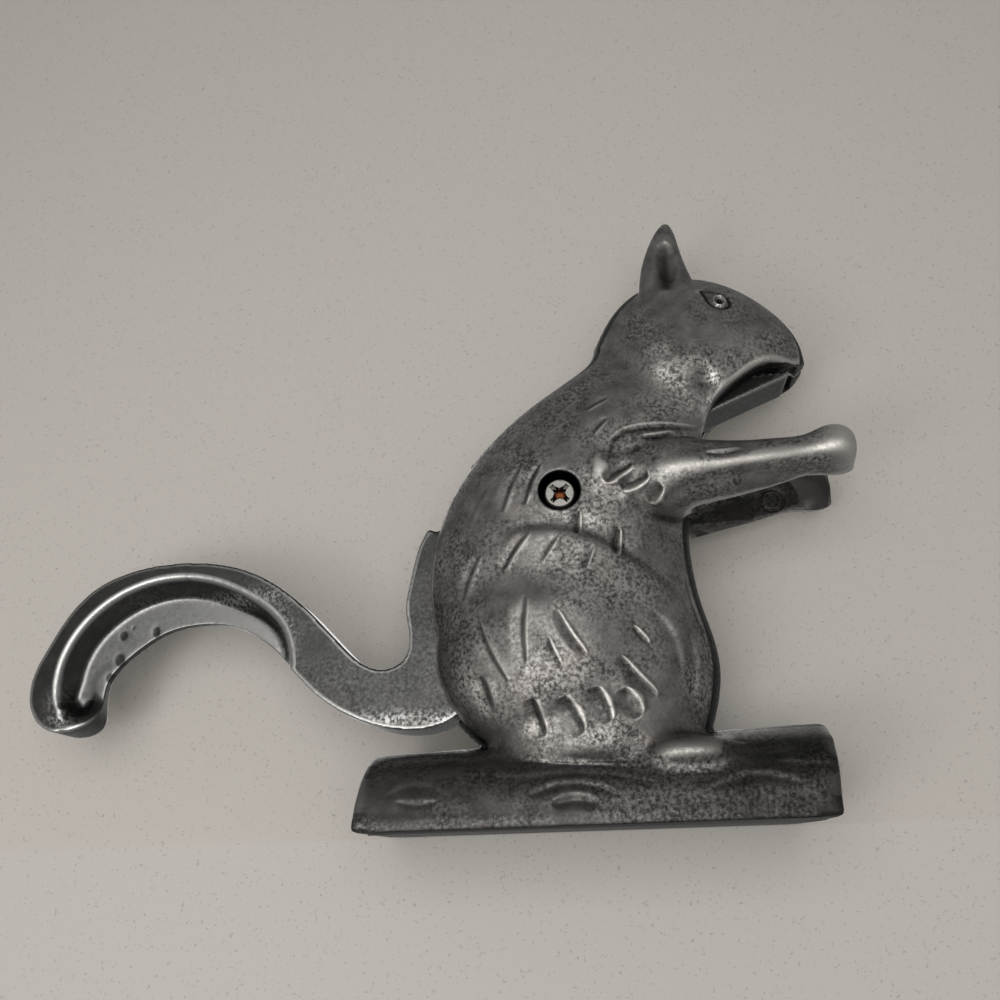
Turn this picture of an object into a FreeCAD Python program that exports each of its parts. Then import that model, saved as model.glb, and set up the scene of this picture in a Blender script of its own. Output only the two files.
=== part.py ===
import FreeCAD, Part
import math
import os
from FreeCAD import Placement, Rotation, Vector

# Lever nutcracker press in the shape of a sitting squirrel, in millimetres.
# The frame stands at the middle of the log's underside: +X to the squirrel's front, +Z up.
# The right half casting is at -Y and the left half casting is at +Y.

doc = FreeCAD.newDocument("LeverNutcracker")
sheet = doc.addObject("Spreadsheet::Sheet", "Sizes")

SIZES = {
    "log_length": 135.6,
    "log_end_lean": 2.2,
    "log_width": 51.0,
    "log_height": 25.3,
    "log_rise": 4.4,
    "skirt_height": 3.5,
    "skirt_lip": 0.5,
    "wall": 4.0,
    "pivot_x": -4.3,
    "pivot_rise": 73.0,
    "lever_thickness": 16.0,
    "side_clearance": 0.3,
    "hub_radius": 14.0,
    "hub_collar": 0.3,
    "hub_clearance": 1.2,
    "pocket_web": 3.0,
    "tooth_pitch": 2.6,
    "tooth_height": 1.1,
    "tooth_count": 9.0,
    "tooth_lean": 0.7,
    "screw_radius": 3.0,
    "running_clearance": 0.07,
    "thread_clearance": 0.02,
    "screw_head_radius": 6.0,
    "screw_head_height": 4.6,
    "seat_wall": 8.3,
    "thread_end": 0.8,
    "head_dome": 1.6,
    "counterbore_clearance": 0.5,
    "recess_width": 7.4,
    "recess_slot": 1.5,
    "recess_depth": 2.8,
    "washer_radius": 5.9,
    "washer_thickness": 1.6,
    "nut_width": 10.0,
    "nut_height": 5.0,
    "boss_wall": 3.5,
    "case_screw_radius": 2.0,
    "case_head_radius": 3.8,
    "case_head_height": 2.8,
    "case_screw_bite": 13.0,
    "case_recess_width": 4.4,
    "case_recess_slot": 0.9,
    "case_recess_depth": 1.6,
    "log_screw_inset": 17.8,
    "log_screw_z": 11.0,
    "log_seat_depth": 9.5,
    "crown_screw_x": 42.3,
    "crown_screw_z": 60.7,
    "crown_seat_depth": 8.0,
    "pin_radius": 2.0,
    "pin_length": 16.0,
    "pin_end_clearance": 0.3,
    "snout_pin_x": 66.3,
    "snout_pin_z": 58.7,
    "log_pin_x": 0.0,
    "arm_gap": 32.0,
    "arm_gap_height": 40.0,
    "chest_x": 41.3,
    "chest_low": 15.3,
    "chest_high": 9.7,
    "nose_step": 6.0,
    "haunch_x": -3.7,
    "haunch_z": -46.3,
    "haunch_length": 79.0,
    "haunch_width": 56.0,
    "haunch_height": 70.0,
    "foot_x": 33.3,
    "foot_sink": 6.3,
    "foot_length": 31.0,
    "foot_width": 19.0,
    "foot_height": 10.0,
    "ear_y": 10.0,
    "ear_hollow_forward": 0.9,
    "ear_hollow_outward": 4.8,
    "ear_hollow_drop": 2.0,
    "ear_hollow_length": 7.4,
    "ear_hollow_depth": 5.6,
    "ear_hollow_height": 20.0,
}

# Every place on the figure and the lever below is measured from the pivot's axis.
# Body sections from the seat to the nose: back point x, z, front point x, z, half width.
BODY_STATIONS = {
    "foot": (-28.7, -80.3, 41.3, -80.3, 21.0),
    "seat": (-31.7, -68.3, 42.8, -68.3, 23.0),
    "rump": (-39.2, -55.3, 45.8, -55.3, 24.0),
    "hip": (-43.7, -41.3, 44.8, -43.3, 24.5),
    "belly": (-45.7, -26.3, 41.9, -31.3, 24.5),
    "waist": (-43.7, -10.3, 40.3, -16.3, 25.0),
    "chest": (-37.7, 5.7, 41.3, -5.3, 25.0),
    "shoulder": (-26.7, 21.7, 46.3, 3.7, 24.0),
    "withers": (-10.2, 37.2, 51.3, 9.7, 22.5),
    "nape": (6.8, 49.2, 56.3, 13.7, 20.5),
    "neck": (13.6, 58.7, 62.3, 18.7, 20.0),
    "crown": (20.8, 71.7, 67.3, 23.7, 20.0),
    "forehead": (32.3, 81.2, 72.3, 27.7, 19.5),
    "brow": (50.3, 83.2, 77.3, 30.7, 18.0),
    "snout": (64.8, 77.0, 80.8, 34.7, 14.5),
    "muzzle": (75.3, 68.0, 83.3, 39.2, 10.5),
    "nose": (81.6, 59.2, 84.1, 44.7, 6.0),
}
NAMES = list(BODY_STATIONS)
TORSO_STATIONS = NAMES[:NAMES.index("neck") + 1]
HEAD_STATIONS = NAMES[NAMES.index("neck"):]
HOLLOW_STATIONS = NAMES[NAMES.index("seat"):NAMES.index("neck")]

# Arm sections from the shoulder to the paw: x, centre z, half height, half depth, outer y.
ARM_STATIONS = {
    "root": (6.3, 3.7, 9.0, 9.5, 20.5),
    "cap": (18.3, 4.7, 13.0, 13.3, 24.8),
    "upper": (32.3, 5.0, 13.0, 13.3, 27.0),
    "elbow": (46.3, 5.9, 10.6, 12.0, 27.0),
    "forearm": (58.3, 6.6, 8.7, 11.0, 26.2),
    "middle": (69.3, 8.0, 7.3, 10.4, 25.6),
    "wrist": (77.3, 9.3, 6.7, 10.2, 25.4),
    "paw": (84.3, 10.4, 8.3, 11.4, 26.6),
    "palm": (89.3, 10.3, 7.4, 10.6, 25.8),
    "fingers": (91.1, 10.1, 5.0, 8.0, 23.5),
}

# Ear sections from the skull to the tip: z, centre x, half length, half depth.
EAR_STATIONS = {
    "skull": (69.7, 40.8, 11.5, 6.0),
    "base": (78.7, 40.0, 9.2, 5.2),
    "low": (87.7, 39.7, 6.9, 4.2),
    "middle": (94.7, 40.4, 4.9, 3.2),
    "high": (100.2, 41.3, 2.7, 2.0),
    "tip": (102.4, 41.7, 1.2, 1.0),
}

# The upper lip in side view, from the throat to the nose.
LIP = [(46.3, 19.7), (48.3, 26.1), (50.6, 30.5), (54.8, 34.7), (60.6, 39.1), (66.6, 42.7),
       (72.3, 44.0), (77.8, 43.7), (83.3, 46.7)]

# The lever's upper edge, from the tail's inner tip round the tail to the prong.
TAIL_OUTER = [(-147.2, -51.3), (-148.7, -56.8), (-151.5, -61.1), (-155.7, -63.7),
              (-161.2, -64.7), (-166.9, -62.9), (-171.1, -58.0), (-172.6, -50.8),
              (-168.4, -37.7), (-155.3, -19.3), (-144.5, -13.9), (-128.7, -11.3),
              (-112.2, -12.5), (-101.0, -16.1), (-84.7, -27.3), (-69.6, -43.1), (-62.7, -48.5),
              (-57.0, -49.5), (-51.9, -47.1), (-49.8, -42.3), (-50.9, -31.8), (-49.4, -21.3),
              (-46.3, -9.7), (-43.5, -4.5)]

# The lever's lower edge, from the corner behind the body to the tail's inner tip.
TAIL_INNER = [(-32.3, -62.1), (-40.7, -67.5), (-48.7, -68.5), (-63.3, -65.6), (-79.3, -56.3),
              (-97.1, -38.4), (-111.3, -31.3), (-120.2, -30.7), (-128.6, -31.9), (-141.3, -39.5),
              (-145.5, -45.8), (-147.2, -51.3)]

# The scooped pocket of the tail: its outer wall, then its open side past the lower edge.
POCKET_OUTER = [(-138.7, -41.8), (-145.0, -47.1), (-149.1, -52.3), (-150.9, -56.3),
                (-153.7, -59.1), (-157.3, -59.9), (-160.6, -57.7), (-162.8, -53.7),
                (-163.6, -48.3), (-160.7, -36.5), (-149.4, -23.5), (-132.8, -16.7),
                (-117.6, -17.1), (-102.1, -23.7), (-91.0, -33.9), (-87.5, -45.8), (-87.7, -52.3)]
POCKET_OUTSIDE = [(-120.7, -48.3), (-133.7, -46.3)]

# The jaw in front of the prong: its top, its front, and its underside back to the hub.
JAW_TOP = [(-9.7, 9.2), (30.3, 32.7), (52.8, 42.9)]
JAW_FRONT = [(77.7, 43.9), (77.1, 41.3)]
JAW_UNDER = [(70.9, 38.8), (49.7, 29.9), (34.3, 13.7), (13.3, -4.3), (4.3, -13.3)]
PRONG_FOOT = (-40.7, -5.5)

# How far the two bars of a screw's cross recess are turned about the screw, in degrees.
RECESS_TURNS = (45, 135)

# The room that the lever needs in side view, in the mouth and down the back.
MOUTH_SLOT = [(12.3, -15.8), (36.7, -5.7), (58.3, -0.3), (104.3, -0.3), (104.3, 35.7),
              (81.3, 42.9), (79.3, 46.1), (53.3, 44.7), (28.3, 34.3), (-7.7, 12.7)]
BACK_SLOT = [(-7.7, 12.7), (-41.7, 19.2), (-70.7, 19.2), (-70.7, -71.3), (-39.7, -70.3),
             (-31.7, -64.1), (4.3, -18.3)]


def add_cell(row, alias, value):
    cell = "B%d" % row
    sheet.set("A%d" % row, alias)
    sheet.set(cell, repr(value))
    sheet.setAlias(cell, alias)


def fill_sheet():
    row = 1
    for alias, value in SIZES.items():
        add_cell(row, alias, value)
        row += 1
    station_columns = (
        ("body", BODY_STATIONS, ("back_x", "back_z", "front_x", "front_z", "half_width")),
        ("arm", ARM_STATIONS, ("x", "z", "half_height", "half_depth", "outer_y")),
        ("ear", EAR_STATIONS, ("z", "x", "half_length", "half_depth")),
    )
    for family, stations, columns in station_columns:
        for name, numbers in stations.items():
            for column, value in zip(columns, numbers):
                add_cell(row, "%s_%s_%s" % (family, name, column), value)
                row += 1
    doc.recompute()


def size(alias):
    return float(sheet.get(alias))


def bind(obj, links):
    for path, expression in links.items():
        obj.setExpression(path, expression)
    return obj


def cell(alias):
    return "Sizes." + alias


def pivot_z():
    return "(%s + %s)" % (cell("log_height"), cell("pivot_rise"))


def across(value):
    # A place along X that is measured from the pivot.
    return "(%s + %s)" % (cell("pivot_x"), value)


def above(value):
    # A place along Z that is measured from the pivot.
    return "(%s + %s)" % (pivot_z(), value)


def slot_width():
    return "(%s + 2 * %s + 2 * %s)" % (cell("lever_thickness"), cell("hub_collar"), cell("side_clearance"))


def pivot_seat():
    return "(%s / 2 + %s)" % (slot_width(), cell("seat_wall"))


def beyond():
    # A length that takes every crossways cutter past the widest place.
    return cell("haunch_width")


def from_pivot(points):
    x0 = size("pivot_x")
    z0 = size("log_height") + size("pivot_rise")
    return [(x0 + x, z0 + z) for x, z in points]


def ellipse(name, links):
    return bind(doc.addObject("Part::Ellipse", name), links)


def loft(name, sections):
    skin = doc.addObject("Part::Loft", name)
    skin.Sections = sections
    skin.Solid = True
    skin.Ruled = False
    return skin


def cylinder(name, radius, length, x, y, z):
    # The cylinder starts at y and runs towards +Y.
    rod = doc.addObject("Part::Cylinder", name)
    rod.Placement = Placement(Vector(0, 0, 0), Rotation(Vector(1, 0, 0), -90))
    return bind(rod, {
        "Radius": radius,
        "Height": length,
        "Placement.Base.x": x,
        "Placement.Base.y": y,
        "Placement.Base.z": z,
    })


def box(name, links):
    return bind(doc.addObject("Part::Box", name), links)


def ellipsoid(name, length, width, height, x, y, z):
    # Radius1 is along Z, Radius2 along X and Radius3 along Y.
    lump = doc.addObject("Part::Ellipsoid", name)
    return bind(lump, {
        "Radius1": height + " / 2",
        "Radius2": length + " / 2",
        "Radius3": width + " / 2",
        "Placement.Base.x": x,
        "Placement.Base.y": y,
        "Placement.Base.z": z,
    })


def fuse(name, shapes):
    joined = doc.addObject("Part::MultiFuse", name)
    joined.Shapes = shapes
    return joined


def cut(name, base, tool):
    trimmed = doc.addObject("Part::Cut", name)
    trimmed.Base = base
    trimmed.Tool = tool
    return trimmed


def common(name, shapes):
    shared = doc.addObject("Part::MultiCommon", name)
    shared.Shapes = shapes
    return shared


def side_points(points):
    return [Vector(x, 0, z) for x, z in points]


def polygon_edges(points):
    corners = side_points(points)
    return [Part.makeLine(a, b) for a, b in zip(corners, corners[1:])]


def curve_edge(points):
    curve = Part.BSplineCurve()
    curve.interpolate(side_points(points))
    return curve.toShape()


def side_face(name, edges):
    # A flat profile in the plane Y = 0.
    profile = doc.addObject("Part::Feature", name)
    profile.Shape = Part.Face(Part.Wire(edges))
    return profile


def thick_plate(name, profile, thickness):
    plate = doc.addObject("Part::Extrusion", name)
    plate.Base = profile
    plate.DirMode = "Custom"
    plate.Dir = Vector(0, 1, 0)
    plate.Solid = True
    plate.Symmetric = True
    return bind(plate, {"LengthFwd": thickness})


def closed(points):
    return points + points[:1]


def body_section(prefix, station, inset):
    # One tilted oval across the body, from its back point to its front point.
    back_x = cell("body_%s_back_x" % station)
    back_z = cell("body_%s_back_z" % station)
    front_x = cell("body_%s_front_x" % station)
    front_z = cell("body_%s_front_z" % station)
    run = "(%s - %s)" % (front_x, back_x)
    rise = "(%s - %s)" % (front_z, back_z)
    section = doc.addObject("Part::Ellipse", "%s_%s" % (prefix, station))
    section.Placement = Placement(Vector(0, 0, 0), Rotation(Vector(0, 1, 0), 1))
    return bind(section, {
        "MajorRadius": "sqrt(%s^2 + %s^2) / 2 - %s" % (run, rise, inset),
        "MinorRadius": "%s - %s" % (cell("body_%s_half_width" % station), inset),
        "Placement.Base.x": across("(%s + %s) / 2" % (front_x, back_x)),
        "Placement.Base.z": above("(%s + %s) / 2" % (front_z, back_z)),
        "Placement.Rotation.Angle": "-atan2(%s; %s)" % (rise, run),
    })


def mouth_profile(name, shift):
    # Everything in front of the chest, the throat and the upper lip.
    lip = from_pivot([(x - shift, z + shift / 2) for x, z in LIP])
    chest_x = size("chest_x") - shift
    far_x = LIP[-1][0] + size("haunch_width")
    low, high, top = from_pivot([(chest_x, -size("chest_low")), (chest_x, size("chest_high")),
                                 (far_x, LIP[-1][1] + size("nose_step"))])
    edges = polygon_edges([low, high, lip[0]])
    edges.append(curve_edge(lip))
    edges += polygon_edges([lip[-1], top, (top[0], low[1]), low])
    return side_face(name, edges)


def mirrored(name, source):
    twin = doc.addObject("Part::Mirroring", name)
    twin.Source = source
    twin.Base = Vector(0, 0, 0)
    twin.Normal = Vector(0, 1, 0)
    return twin


def build_body_skin():
    sections = {station: body_section("Body", station, "0") for station in BODY_STATIONS}
    torso = loft("Torso", [sections[station] for station in TORSO_STATIONS])
    head = loft("Head", [sections[station] for station in HEAD_STATIONS])
    skin = fuse("BodySkin", [torso, head])
    mouth = thick_plate("MouthCutter", mouth_profile("MouthProfile", 0.0), "2 * " + beyond())
    return cut("BodyWithMouth", skin, mouth)


def build_body_hollow():
    sections = [body_section("Hollow", station, cell("wall")) for station in HOLLOW_STATIONS]
    hollow = loft("BodyHollow", sections)
    front = mouth_profile("HollowFrontProfile", size("wall"))
    front_plate = thick_plate("HollowFront", front, "2 * " + beyond())
    return cut("BodyRoom", hollow, front_plate)


def build_arm():
    # A half-round arm: the flat inner face comes from the gap cut between the arms.
    sections = []
    for station in ARM_STATIONS:
        section = ellipse("Arm_" + station, {
            "MajorRadius": cell("arm_%s_half_depth" % station),
            "MinorRadius": cell("arm_%s_half_height" % station),
            "Placement.Base.x": across(cell("arm_%s_x" % station)),
            "Placement.Base.y": "%s - %s" % (cell("arm_%s_outer_y" % station),
                                             cell("arm_%s_half_depth" % station)),
            "Placement.Base.z": above(cell("arm_%s_z" % station)),
        })
        section.Placement.Rotation = Rotation(Vector(1, 1, 1), 120)
        sections.append(section)
    return loft("LeftArm", sections)


def build_ear():
    sections = []
    for station in EAR_STATIONS:
        sections.append(ellipse("Ear_" + station, {
            "MajorRadius": cell("ear_%s_half_length" % station),
            "MinorRadius": cell("ear_%s_half_depth" % station),
            "Placement.Base.x": across(cell("ear_%s_x" % station)),
            "Placement.Base.y": cell("ear_y"),
            "Placement.Base.z": above(cell("ear_%s_z" % station)),
        }))
    horn = loft("EarHorn", sections)
    scoop = ellipsoid("EarScoop", cell("ear_hollow_length"), cell("ear_hollow_depth"),
                      cell("ear_hollow_height"),
                      across("%s + %s" % (cell("ear_low_x"), cell("ear_hollow_forward"))),
                      "%s + %s" % (cell("ear_y"), cell("ear_hollow_outward")),
                      above("%s - %s" % (cell("ear_low_z"), cell("ear_hollow_drop"))))
    return cut("LeftEar", horn, scoop)


def log_profile(name, half_width, bottom, shoulder, top):
    # A half-round section in the plane X = 0, on straight sides.
    side = Vector(0, half_width, shoulder)
    crest = Vector(0, 0, top)
    center = Vector(0, 0, shoulder)
    if half_width >= top - shoulder:
        arc = Part.ArcOfEllipse(Part.Ellipse(side, crest, center), 0, math.pi)
    else:
        arc = Part.ArcOfEllipse(Part.Ellipse(crest, side, center), -math.pi / 2, math.pi / 2)
    right, left = sorted([arc.StartPoint, arc.EndPoint], key=lambda point: -point.y)
    corners = [left, Vector(0, -half_width, bottom), Vector(0, half_width, bottom), right]
    edges = [Part.makeLine(a, b) for a, b in zip(corners, corners[1:])]
    profile = doc.addObject("Part::Feature", name)
    profile.Shape = Part.Face(Part.Wire(Part.__sortEdges__(edges + [arc.toShape()])))
    return profile


def log_bar(name, profile, length, rise):
    # The bar climbs by the rise over each unit of its length.
    bar = doc.addObject("Part::Extrusion", name)
    bar.Base = profile
    bar.DirMode = "Custom"
    bar.Dir = Vector(1, 0, rise)
    bar.Solid = True
    bar.Symmetric = True
    return bind(bar, {"LengthFwd": length})


def build_log():
    # The round top rises towards the front over a level skirt, and both ends lean forwards.
    half = size("log_length") / 2
    skirt = size("skirt_height")
    rise = size("log_rise")
    profile = log_profile("LogProfile", size("log_width") / 2 - size("skirt_lip"), -rise, skirt,
                          size("log_height"))
    bar = log_bar("LogBar", profile, "2 * " + cell("log_length"), rise / size("log_length"))
    plate = box("LogSkirt", {
        "Length": "2 * " + cell("log_length"),
        "Width": cell("log_width"),
        "Height": cell("skirt_height"),
        "Placement.Base.x": "-" + cell("log_length"),
        "Placement.Base.y": "-%s / 2" % cell("log_width"),
    })
    top = size("log_height") + rise
    lean = size("log_end_lean") * (top - skirt) / (size("log_height") - skirt)
    side = closed([(-half, 0.0), (half, 0.0), (half, skirt), (half + lean, top),
                   (-half + lean, top), (-half, skirt)])
    ends = thick_plate("LogEnds", side_face("LogSideProfile", polygon_edges(side)),
                       "2 * " + cell("log_width"))
    return common("Log", [fuse("LogBlank", [bar, plate]), ends])


def build_log_room():
    wall = size("wall")
    profile = log_profile("LogRoomProfile", size("log_width") / 2 - wall, wall, wall + size("skirt_lip"),
                          size("log_height") - size("log_rise") / 2 - wall)
    return log_bar("LogRoom", profile, "%s - 2 * (%s + %s)" % (cell("log_length"), cell("wall"),
                                                             cell("log_end_lean")), 0.0)


LOG_SCREW_X = "(%s / 2 - %s)" % (cell("log_length"), cell("log_screw_inset"))
LOG_SEAT = "(%s / 2 - %s)" % (cell("log_width"), cell("log_seat_depth"))
CROWN_SEAT = "(%s - %s)" % (cell("body_crown_half_width"), cell("crown_seat_depth"))
SCREW_PLACES = {
    "BackLog": ("-" + LOG_SCREW_X, cell("log_screw_z"), LOG_SEAT),
    "FrontLog": (LOG_SCREW_X, cell("log_screw_z"), LOG_SEAT),
    "Crown": (across(cell("crown_screw_x")), above(cell("crown_screw_z")), CROWN_SEAT),
}
PIN_PLACES = {
    "Log": (cell("log_pin_x"), cell("log_screw_z")),
    "Snout": (across(cell("snout_pin_x")), above(cell("snout_pin_z"))),
}
HEAD_BORE = "(%s + %s)" % (cell("screw_head_radius"), cell("counterbore_clearance"))
NUT_BORE = "(max(%s / sqrt(3); %s) + %s)" % (cell("nut_width"), cell("washer_radius"),
                                            cell("counterbore_clearance"))


def build_bosses():
    # Solid columns left standing in the hollow, so none of them reaches out of the casting.
    posts = [cylinder("PivotBoss", "max(%s; %s) + %s" % (HEAD_BORE, NUT_BORE, cell("boss_wall")),
                      beyond(), cell("pivot_x"), "0", pivot_z())]
    post_radius = "%s + %s" % (cell("case_screw_radius"), cell("boss_wall"))
    for place in ("BackLog", "FrontLog"):
        x, z, seat = SCREW_PLACES[place]
        posts.append(cylinder(place + "Boss", post_radius, beyond(), x, "0", z))
    x, z = PIN_PLACES["Log"]
    posts.append(cylinder("LogPinBoss", "%s + %s" % (cell("pin_radius"), cell("boss_wall")),
                          beyond(), x, "0", z))
    return fuse("Bosses", posts)


def build_slots():
    width = slot_width()
    mouth = side_face("MouthSlotProfile", polygon_edges(closed(from_pivot(MOUTH_SLOT))))
    back = side_face("BackSlotProfile", polygon_edges(closed(from_pivot(BACK_SLOT))))
    hub_room = cylinder("HubRoom", "%s + %s" % (cell("hub_radius"), cell("hub_clearance")), width,
                        cell("pivot_x"), "-%s / 2" % width, pivot_z())
    return [thick_plate("MouthSlot", mouth, width), thick_plate("BackSlot", back, width), hub_room]


def build_plain_half():
    # The left half casting before its own bores: the +Y half of everything.
    gap = box("ArmGap", {
        "Length": cell("log_length"),
        "Width": cell("arm_gap"),
        "Height": cell("arm_gap_height"),
        "Placement.Base.x": across(cell("chest_x")),
        "Placement.Base.y": "-%s / 2" % cell("arm_gap"),
        "Placement.Base.z": above("%s - %s / 2" % (cell("arm_forearm_z"), cell("arm_gap_height"))),
    })
    arm = cut("LeftArmOpen", build_arm(), gap)
    haunch = ellipsoid("Haunch", cell("haunch_length"), cell("haunch_width"), cell("haunch_height"),
                       across(cell("haunch_x")), "0", above(cell("haunch_z")))
    foot = ellipsoid("LeftFoot", cell("foot_length"), cell("foot_width"), cell("foot_height"),
                     across(cell("foot_x")), "(%s - %s) / 2" % (cell("log_width"), cell("foot_width")),
                     "%s - %s" % (cell("log_height"), cell("foot_sink")))
    solid = fuse("Figure", [build_body_skin(), haunch, arm, build_ear(), foot, build_log()])
    rooms = fuse("Rooms", [build_body_hollow(), build_log_room()])
    hollow = cut("RoomsAroundBosses", rooms, build_bosses())
    openings = fuse("Openings", [hollow] + build_slots())
    shell = cut("FigureShell", solid, openings)
    keep = box("LeftSide", {
        "Length": "2 * " + cell("log_length"),
        "Width": beyond(),
        "Height": above("2 * " + cell("ear_tip_z")),
        "Placement.Base.x": "-" + cell("log_length"),
    })
    return common("PlainLeftHalf", [shell, keep])


def pin_hole_radius():
    return "%s + %s" % (cell("pin_radius"), cell("thread_clearance"))


def pin_hole_depth():
    return "(%s / 2 + %s)" % (cell("pin_length"), cell("pin_end_clearance"))


def build_left_half(plain):
    # Bored for the nut on the pivot, the case screws' heads and the locating pins.
    tools = [
        cylinder("LeftPivotBore", "%s + %s" % (cell("screw_radius"), cell("running_clearance")),
                 beyond(), cell("pivot_x"), "0", pivot_z()),
        cylinder("NutCounterbore", NUT_BORE, beyond(), cell("pivot_x"), pivot_seat(), pivot_z()),
    ]
    hole_radius = "%s + %s" % (cell("case_screw_radius"), cell("running_clearance"))
    head_room = "%s + %s" % (cell("case_head_radius"), cell("counterbore_clearance"))
    for place, (x, z, seat) in SCREW_PLACES.items():
        tools.append(cylinder(place + "Hole", hole_radius, beyond(), x, "0", z))
        tools.append(cylinder(place + "Counterbore", head_room, beyond(), x, seat, z))
    for place, (x, z) in PIN_PLACES.items():
        tools.append(cylinder("Left%sPinHole" % place, pin_hole_radius(), pin_hole_depth(), x, "0", z))
    half = cut("LeftBodyHalf", plain, fuse("LeftBores", tools))
    half.Label = "left_body_half"
    return half


def build_right_half(plain):
    # Bored for the pivot screw's head, tapped for the case screws and drilled for the pins.
    twin = mirrored("PlainRightHalf", plain)
    tools = [
        cylinder("RightPivotBore", "%s + %s" % (cell("screw_radius"), cell("running_clearance")),
                 beyond(), cell("pivot_x"), "-" + beyond(), pivot_z()),
        cylinder("HeadCounterbore", HEAD_BORE, beyond(), cell("pivot_x"),
                 "-%s - %s" % (pivot_seat(), beyond()), pivot_z()),
    ]
    bite = "(%s + %s)" % (cell("case_screw_bite"), cell("pin_end_clearance"))
    thread_radius = "%s + %s" % (cell("case_screw_radius"), cell("thread_clearance"))
    for place, (x, z, seat) in SCREW_PLACES.items():
        tools.append(cylinder(place + "Thread", thread_radius, bite, x, "-" + bite, z))
    for place, (x, z) in PIN_PLACES.items():
        tools.append(cylinder("Right%sPinHole" % place, pin_hole_radius(), pin_hole_depth(),
                              x, "-" + pin_hole_depth(), z))
    half = cut("RightBodyHalf", twin, fuse("RightBores", tools))
    half.Label = "right_body_half"
    return half


def teeth_points():
    # A saw edge along the jaw's top, from the back tooth to the front one.
    start_x, start_z = JAW_TOP[-1]
    end_x, end_z = JAW_FRONT[0]
    count = int(size("tooth_count"))
    pitch = size("tooth_pitch")
    first_x = end_x - count * pitch
    rise = size("tooth_lean") * pitch
    slope = (end_z - start_z) / (end_x - start_x)
    points = []
    for tooth in range(count):
        x = first_x + tooth * pitch
        z = start_z + slope * (x - start_x)
        points.append((x, z - size("tooth_height")))
        points.append((x + rise, z + slope * rise))
    return points


def lever_profile():
    jaw = [TAIL_OUTER[-1], PRONG_FOOT] + JAW_TOP + teeth_points() + JAW_FRONT + JAW_UNDER
    edges = [curve_edge(from_pivot(TAIL_OUTER))]
    edges += polygon_edges(from_pivot(jaw + [TAIL_INNER[0]]))
    edges.append(curve_edge(from_pivot(TAIL_INNER)))
    return side_face("LeverProfile", edges)


def pocket_profile():
    open_side = from_pivot([POCKET_OUTER[-1]] + POCKET_OUTSIDE + [POCKET_OUTER[0]])
    return side_face("PocketProfile", [curve_edge(from_pivot(POCKET_OUTER))] + polygon_edges(open_side))


def build_lever():
    plate = thick_plate("LeverPlate", lever_profile(), cell("lever_thickness"))
    hub_width = "(%s + 2 * %s)" % (cell("lever_thickness"), cell("hub_collar"))
    hub = cylinder("LeverHub", cell("hub_radius"), hub_width, cell("pivot_x"),
                   "-%s / 2" % hub_width, pivot_z())
    body = fuse("LeverBlank", [plate, hub])
    bore = cylinder("LeverBore", "%s + %s" % (cell("screw_radius"), cell("running_clearance")),
                    "2 * " + hub_width, cell("pivot_x"), "-" + hub_width, pivot_z())
    pocket = pocket_profile()
    tools = [bore]
    for side, sign in (("Right", -1), ("Left", 1)):
        # Each pocket leaves half the web standing beside the seam's plane.
        scoop = doc.addObject("Part::Extrusion", side + "Pocket")
        scoop.Base = pocket
        scoop.DirMode = "Custom"
        scoop.Dir = Vector(0, sign, 0)
        scoop.Solid = True
        bind(scoop, {
            "LengthFwd": cell("lever_thickness"),
            "Placement.Base.y": "%d * %s / 2" % (sign, cell("pocket_web")),
        })
        tools.append(scoop)
    lever = cut("TailLever", body, fuse("LeverCuts", tools))
    lever.Label = "tail_lever"
    return lever


def cross_recess(name, width, slot, depth, x, z, face_y, inward):
    # Two crossed slots sunk from the head's face at face_y, turned to stand like an X.
    bars = []
    start = face_y if inward > 0 else "%s - %s" % (face_y, depth)
    for turn in RECESS_TURNS:
        cosine = math.cos(math.radians(turn))
        sine = math.sin(math.radians(turn))
        bar = box("%s%d" % (name, turn), {"Length": width, "Width": depth, "Height": slot})
        bar.Placement.Rotation = Rotation(Vector(0, 1, 0), -turn)
        bind(bar, {
            "Placement.Base.x": "%s - (%s * %.6f - %s * %.6f) / 2" % (x, width, cosine, slot, sine),
            "Placement.Base.y": start,
            "Placement.Base.z": "%s - (%s * %.6f + %s * %.6f) / 2" % (z, width, sine, slot, cosine),
        })
        bars.append(bar)
    return fuse(name, bars)


def build_pivot_screw():
    # Cross-recessed pan head in the right half's counterbore, end standing out of the nut.
    head_start = "-%s - %s" % (pivot_seat(), cell("screw_head_height"))
    head = cylinder("PivotHeadBlank", cell("screw_head_radius"), cell("screw_head_height"),
                    cell("pivot_x"), head_start, pivot_z())
    doc.recompute()
    domed = doc.addObject("Part::Fillet", "PivotHead")
    domed.Base = head
    rim = top_rim(head.Shape, -1)
    domed.Edges = [(rim, size("head_dome"), size("head_dome"))]
    shank_length = "2 * %s + %s + %s + %s" % (pivot_seat(), cell("washer_thickness"),
                                              cell("nut_height"), cell("thread_end"))
    shank = cylinder("PivotShank", cell("screw_radius"), shank_length, cell("pivot_x"),
                     "-" + pivot_seat(), pivot_z())
    recess = cross_recess("PivotRecess", cell("recess_width"), cell("recess_slot"), cell("recess_depth"),
                          cell("pivot_x"), pivot_z(), head_start, 1)
    screw = cut("PivotScrew", fuse("PivotScrewBlank", [domed, shank]), recess)
    screw.Label = "pivot_screw"
    return screw


def top_rim(shape, side):
    # The number of the round edge at the head's outer face.
    rims = []
    for number, edge in enumerate(shape.Edges, 1):
        if edge.Curve.TypeId == "Part::GeomCircle":
            rims.append((side * edge.CenterOfMass.y, number))
    return max(rims)[1]


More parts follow.
